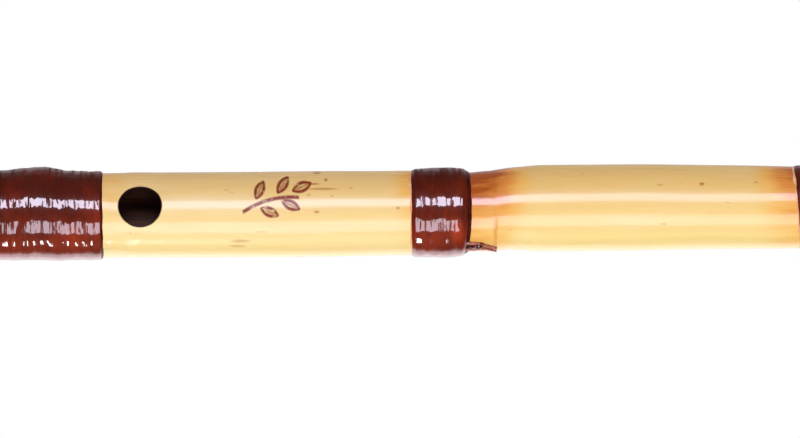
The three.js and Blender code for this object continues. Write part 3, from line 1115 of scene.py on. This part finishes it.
tailSet = {
    "strandWidth": 0.85 * mm,
    "strandHeight": 0.72 * mm,
    "sides": 12,
    "steps": 40,
    "narrowing": 0.3,
    "endNarrowing": 0.75,
    "plyTurns": 9,
    "plyDepth": 0.1,
    "standing": 0.85,           # how far a strand's middle stands off the skin, in half heights
    "blobLength": 3.3 * mm,
    "blobWidth": 2.3 * mm,
    "blobHeight": 0.95 * mm,
    "blobRings": 14,
    "blobSides": 28,
    "blobUneven": 0.12,
    "blobSink": 0.05 * mm,
}

# the strands' ways over the skin: picture columns and rows
strandWays = {
    "upper": ((464, 243.6), (474, 244.2), (485, 245.8), (497, 248.6)),
    "lower": ((464, 249.4), (474, 249.8), (485, 249.4), (496.5, 250.8)),
}
blobPlace = (476, 246.4)


tailThreadLook = {
    "grain": ((1.5, 1.5, 2.8), 3, 0.6),
    "colours": (0.35, 0.7, paint(150, 76, 62), paint(204, 136, 118)),
    "overGrain": ((0.5, 0.5, 0.4), 2, 0.5, 3.0),
    "overColour": (0.45, 0.7, 0.5, paint(116, 48, 38)),
    "roughness": (0.2, 0.15),
    "bump": (0.05 * mm, 0.7),
    "IOR": 1.6,
}

blobLook = {
    "grain": ((0.9, 0.9, 0.9), 3, 0.6),
    "colours": (0.4, 0.7, paint(58, 16, 12), paint(110, 36, 24)),
    "roughness": (0.12, 0.04),
    "bump": (0.08 * mm, 0.6),
    "IOR": 1.65,
}


def makeTail():
    points = []
    faces = []
    sides = tailSet["sides"]
    steps = tailSet["steps"]
    for way in strandWays.values():
        stations = np.linspace(0, 1, len(way))
        columnAt = smoothCurve(stations, [column for column, row in way])
        turnAt = smoothCurve(stations, [turnAtRow(column, row) for column, row in way])
        first = len(points)
        for step in range(steps + 1):
            share = step / steps
            height = heightAt(columnAt(share))
            radius = float(skinRadius(height))
            turn = turnAt(share)
            narrow = 1 - tailSet["narrowing"] * share
            if step == steps:
                narrow = narrow * tailSet["endNarrowing"]
            for corner in range(sides):
                angle = -fullTurn * corner / sides
                twist = fullTurn * share * tailSet["plyTurns"]
                ply = 1 + tailSet["plyDepth"] * math.cos(2 * (angle + twist))
                across = tailSet["strandWidth"] / 2 * narrow * ply * math.cos(angle)
                standing = narrow * ply * math.sin(angle) + tailSet["standing"]
                lift = tailSet["strandHeight"] / 2 * standing
                points.append(onSkin(np.array(turn + across / radius), height, lift))
        faces += loopFaces(steps + 1, sides, first, closed=False)
        faces.append(tuple(reversed(range(first, first + sides))))
        faces.append(tuple(range(first + steps * sides, len(points))))
    strandFaces = len(faces)
    first = len(points)
    rings = tailSet["blobRings"]
    around = tailSet["blobSides"]
    centreHeight = heightAt(blobPlace[0])
    centreTurn = turnAtRow(*blobPlace)
    uneven = ripples(61, 8, 4, 1, 3)
    for ring in range(rings + 1):
        share = ring / rings
        for corner in range(around):
            angle = fullTurn * corner / around
            reach = share * (1 + tailSet["blobUneven"] * float(uneven(angle, 0.5)))
            height = centreHeight + tailSet["blobLength"] / 2 * reach * math.cos(angle)
            across = tailSet["blobWidth"] / 2 * reach * math.sin(angle)
            turn = centreTurn + across / float(skinRadius(height))
            rise = max(0.0, 1 - share ** 2.4) ** 0.6
            lift = tailSet["blobHeight"] * rise * (1 + tailSet["blobUneven"] * float(uneven(angle, share)))
            points.append(onSkin(np.array(turn), height, lift - tailSet["blobSink"]))
    faces += loopFaces(rings, around, first + around, closed=False, flipped=True)
    faces.append(tuple(range(first + around, first + 2 * around)))
    faces.append(tuple(reversed(range(first + rings * around, len(points)))))
    kinds = [0] * strandFaces + [1] * (len(faces) - strandFaces)
    strand = grainedMaterial("tailThread", tailThreadLook)
    blob = grainedMaterial("darkLacquerBlob", blobLook)
    piece = makePiece("threadTail", points, faces, [strand, blob], kinds, sharp=60)
    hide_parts("binding_5_tail")


makeTail()
print("thread tail made")


sleeveSet = {
    "columns": 128,
    "rimRound": 0.3 * mm,
    "bevelLength": 1.6 * mm,
    "grooveDepth": 0.09 * mm,
    "grooveWidth": 0.45 * mm,
    "grooveHeights": (3.2 * mm, 4.6 * mm),
    "plainFrom": 6 * mm,        # the plain wall starts here
    "footRound": 0.25 * mm,
    "rimEdge": 0.1 * mm,        # the small bevel inside the rim
    "footEdge": 0.15 * mm,      # and the one inside the foot
}


def brassMaterial():
    material, start, place = newMaterial("turnedBrass")
    turning = grain(place, (0.08, 0.08, 9.0), 3, 0.6)
    wear = grain(place, (0.3, 0.3, 0.22), 4, 0.6, 2.0)
    scratches = grain(place, (5.0, 5.0, 0.5), 3, 0.6, 9.0)
    colour = mixed(between(wear, 0.4, 0.75), paint(214, 176, 92), paint(176, 132, 62))
    colour = mixed(between(scratches, 0.62, 0.8, 0.35), colour, paint(228, 198, 120))
    finishMaterial(start, {
        "Base Color": colour,
        "Metallic": 1.0,
        "Roughness": turning * 0.16 + wear * 0.22 + 0.08,
        "Normal": bumped(start, turning + scratches * 0.5, 0.01 * mm, 0.5),
    })
    return material


def sizeOf(name):
    # lowest and highest point, and inner and outer radius, of a round part of the CAD
    lowCorner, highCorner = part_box(name)
    away = fromAxis(pointsOf(name))
    return lowCorner.z, highCorner.z, away.min(), away.max()


def makeSleeve():
    low, high, inner, outer = sizeOf("mouth_sleeve")
    footRound = sleeveSet["footRound"]
    profile = []
    for step in range(4, -1, -1):
        bend = step / 4 * math.pi / 2
        height = low + footRound * (1 - math.sin(bend))
        profile.append((height, outer - footRound * (1 - math.cos(bend))))
    for groove in sleeveSet["grooveHeights"]:
        for share in np.linspace(-1, 1, 9):
            dip = sleeveSet["grooveDepth"] * (math.cos(share * math.pi) + 1) / 2
            profile.append((low + groove + share * sleeveSet["grooveWidth"] / 2, outer - dip))
    bevelStart = high - sleeveSet["bevelLength"]
    for height in np.linspace(low + sleeveSet["plainFrom"], bevelStart, 12):
        profile.append((height, outer))
    lipRadius = inner + sleeveSet["rimRound"]
    for step in range(1, 9):
        bend = step / 8 * math.pi / 2
        height = bevelStart + (high - bevelStart) * math.sin(bend)
        profile.append((height, lipRadius + (outer - lipRadius) * math.cos(bend)))
    profile.append((high - 0.05 * mm, inner + sleeveSet["rimEdge"]))
    profile.append((high - 0.3 * mm, inner))
    for height in np.linspace(high - 3 * mm, low + 0.3 * mm, 8):
        profile.append((height, inner))
    profile.append((low, inner + sleeveSet["footEdge"]))
    turns = turnsOf(sleeveSet["columns"])
    rows = [ringPoint(0, radius, turns, height) for height, radius in profile]
    sleeve = makeTube("mouthSleeve", rows, [brassMaterial()], sharp=35)
    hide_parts("mouth_sleeve")


makeSleeve()
print("mouth sleeve made")


packingSet = {
    "columns": 64,
    "threadPitch": 0.6 * mm,
    "rowsEachTurn": 6,
    "threadHeight": 0.09 * mm,
    "insideRows": 6,
}


waxedThreadLook = {
    "grain": ((2.0, 2.0, 5.0), 3, 0.6),
    "colours": (0.35, 0.7, paint(206, 192, 160), paint(226, 216, 190)),
    "overGrain": ((0.4, 0.4, 0.4), 3, 0.5, 3.0),
    "overColour": (0.5, 0.75, 0.5, paint(190, 168, 120)),
    "roughness": (0.2, 0.5),
    "bump": (0.05 * mm, 0.7),
}


def makePacking():
    low, high, inner, outer = sizeOf("sleeve_packing")
    threadHeight = packingSet["threadHeight"]
    turns = turnsOf(packingSet["columns"])
    rows = []
    for height in np.arange(low, high, packingSet["threadPitch"] / packingSet["rowsEachTurn"]):
        phase = fullTurn * (height / packingSet["threadPitch"]) - turns
        radius = outer - threadHeight + threadHeight * abs(np.cos(phase / 2))
        rows.append(ringPoint(0, radius, turns, height))
    for height in np.linspace(high, low, packingSet["insideRows"]):
        rows.append(ringPoint(0, inner, turns, height))
    packing = makeTube("sleevePacking", rows, [grainedMaterial("waxedThread", waxedThreadLook)], sharp=80)
    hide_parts("sleeve_packing")


makePacking()
print("packing made")


stageSet = {
    "floorRadius": 1.15,
    "floorRings": 12,
    "floorSides": 96,
    "floorDrop": 0.05 * mm,
    "floorColour": paint(232, 232, 230),
    "speckleColour": paint(226, 226, 224),
    "whiteFrom": 260,           # millimetres out, where the floor starts to fade to white
    "whiteTo": 0.96,            # share of its radius where it ends
    "whiteness": 0.999,
    "backLight": 0.95,          # light from the backdrop
    "frontLight": 0.12,         # light from the room in front
    "frontGloss": 0.03,         # what gloss sees of that room
    "upperGloss": 0.15,         # what gloss sees of the backdrop on the +X side
}

# lamps: turn round the flute, distance, width, length, height, brightness and tint
lampSet = {
    "upperSoftbox": (28, 1.2, 0.44, 0.42, 0.235, 10.6, (0.99, 0.92, 1.13)),
    "lowerSoftbox": (-34, 1.2, 0.66, 0.46, 0.235, 5.5, (0.99, 0.93, 1.06)),
    "fillPanel": (-62, 1.2, 0.9, 0.9, 0.25, 1.45, (1.01, 1.02, 0.92)),
    "sideLamp": (-79, 0.8, 0.2, 0.032, 0.311, 21.0, (1.0, 1.0, 1.0)),
    "lowBackPanel": (-138, 0.8, 0.55, 0.8, 0.22, 0.9, (1.0, 0.86, 0.96)),
    "highBackPanel": (150, 0.8, 0.4, 0.8, 0.22, 0.25, (1.0, 0.78, 0.95)),
    "upperGlintEnd": (28, 1.2, 0.44, 0.16, 0.525, 10.6, (0.99, 0.92, 1.13)),
}


def makeLamps():
    for name, (turn, distance, width, length, height, brightness, tint) in lampSet.items():
        lamp = bpy.data.lights.new(name, "AREA")
        lamp.shape = "RECTANGLE"
        lamp.size = width
        lamp.size_y = length
        lamp.energy = brightness * math.pi * width * length
        lamp.color = tint
        holder = linked(name, lamp)
        angle = math.radians(turn)
        holder.location = (distance * math.sin(angle), -distance * math.cos(angle), height)
        holder.rotation_euler = (math.radians(90), 0, angle)
        holder.visible_camera = False
        holder.visible_glossy = name != "fillPanel"
        holder.visible_diffuse = name != "upperGlintEnd"


def lookers(start):
    # 1 where the camera looks, and 1 where gloss or glass does
    outputs = start.add("LightPath").socket.node.outputs
    rays = ("Is Camera Ray", "Is Glossy Ray", "Is Transmission Ray")
    seen, gloss, through = [Sock(start.tree, outputs[ray]) for ray in rays]
    return seen, seen.maths("MAXIMUM", gloss, through)


def makeWorld():
    world = bpy.data.worlds.new("studio")
    world.use_nodes = True
    world.node_tree.nodes.clear()
    start = Sock(world.node_tree)
    side, depth, height = apart(start.add("TexCoord", out="Generated"))
    seen, shining = lookers(start)
    back = between(depth, -0.15, 0.25)
    farBack = between(depth, 0.3, 0.55)
    plain = back * (stageSet["backLight"] - stageSet["frontLight"]) + stageSet["frontLight"]
    whiteness = fade(side, -0.3, 0.5) * (1 - stageSet["upperGloss"]) + stageSet["upperGloss"]
    shown = farBack * (whiteness - stageSet["frontGloss"]) + stageSet["frontGloss"]
    strength = plain * (1 - shining) + shown * shining
    strength = strength * (1 - seen) + seen
    background = start.add("Background", None, {"Color": (1, 1, 1, 1), "Strength": strength})
    start.add("OutputWorld", None, {"Surface": background})
    bpy.context.scene.world = world


def makeFloor():
    material, start, place = newMaterial("paleFloor")
    speckle = grain(place, (0.02, 0.02, 0.02), 3, 0.5)
    colour = mixed(between(speckle, 0.3, 0.7), stageSet["floorColour"], stageSet["speckleColour"])
    matte = start.add("BsdfDiffuse", None, {"Color": colour})
    white = start.add("Emission", None, {"Color": (1, 1, 1, 1), "Strength": 1.0})
    seen, shining = lookers(start)
    away = reachFrom(place, (0, 0, 0))
    edge = between(away, stageSet["whiteFrom"], stageSet["floorRadius"] / mm * stageSet["whiteTo"])
    shown = edge * stageSet["whiteness"] * seen.maths("MAXIMUM", seen, shining)
    surface = start.add("MixShader", None, {0: shown, 1: matte, 2: white})
    start.add("OutputMaterial", None, {"Surface": surface})
    rings = stageSet["floorRings"]
    sides = stageSet["floorSides"]
    points = [(0, 0, 0)]
    for ring in range(1, rings + 1):
        radius = stageSet["floorRadius"] * (ring / rings) ** 1.5
        for corner in range(sides):
            angle = fullTurn * corner / sides
            points.append((radius * math.cos(angle), radius * math.sin(angle), -stageSet["floorDrop"]))
    faces = [(0, 1 + corner, 1 + (corner + 1) % sides) for corner in range(sides)]
    faces += loopFaces(rings, sides, 1, closed=False, flipped=True)
    mesh = bpy.data.meshes.new("floor")
    mesh.from_pydata(points, [], faces)
    mesh.materials.append(material)
    floor = linked("floor", mesh)
    floor.visible_glossy = False


def makeCamera():
    camera = bpy.data.cameras.new("photoCamera")
    camera.sensor_width = photo["sensor"]
    camera.lens = photo["sensor"] * photo["distance"] / (photo["wide"] * photo["pixel"])
    camera.clip_end = 100
    holder = linked("photoCamera", camera)
    holder.location = (photo["middleSide"], -photo["distance"], heightAt(photo["wide"] / 2))
    holder.rotation_euler = (math.radians(90), math.radians(90), 0)
    bpy.context.scene.camera = holder


makeLamps()
makeWorld()
makeFloor()
makeCamera()
bpy.context.scene.view_settings.view_transform = "Standard"
print("stage, lamps and camera set")
